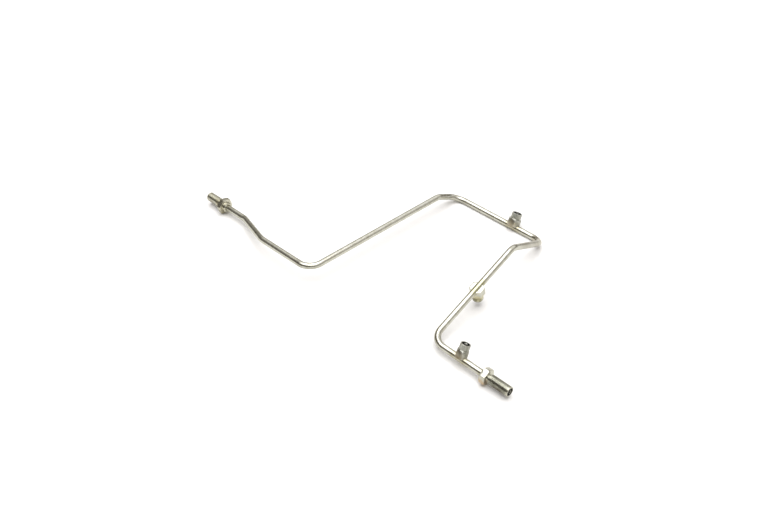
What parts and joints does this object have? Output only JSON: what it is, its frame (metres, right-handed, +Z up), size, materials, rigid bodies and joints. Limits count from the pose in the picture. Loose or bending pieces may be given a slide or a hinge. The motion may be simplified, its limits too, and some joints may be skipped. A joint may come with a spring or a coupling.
{
  "type": "bent tube assembly",
  "caption": "Zinc-plated steel line bent in several planes, with a brazed male threaded fitting at each end and threaded side ports along it.",
  "frame": {"origin": "bottom centre of the whole assembly's box, on the surface it lies on", "axes": "+X along the left end fitting's axis, from its threaded stub towards the long bulkhead fitting at the right-hand end; +Y across, from the end fittings towards the far run; +Z up"},
  "size_m": [0.6004, 0.3224, 0.0544],
  "materials": {
    "plated_tube": "bright zinc plate with a faint yellow tint, drawn tube",
    "plated_end_fittings": "bright zinc plate over turned and milled steel",
    "plated_port_fittings": "duller olive-grey zinc plate over turned and milled steel",
    "seal_rubber": "matt black"
  },
  "bodies": {
    "root": {"bent_tube": "plated_tube", "far_port": "plated_port_fittings", "far_port_seal": "seal_rubber", "left_end_fitting": "plated_end_fittings", "left_end_seal": "seal_rubber", "near_port": "plated_port_fittings", "near_port_seal": "seal_rubber", "right_end_fitting": "plated_end_fittings", "right_end_seal": "seal_rubber", "under_port": "plated_port_fittings", "under_port_seal": "seal_rubber"}
  },
  "joints": []
}
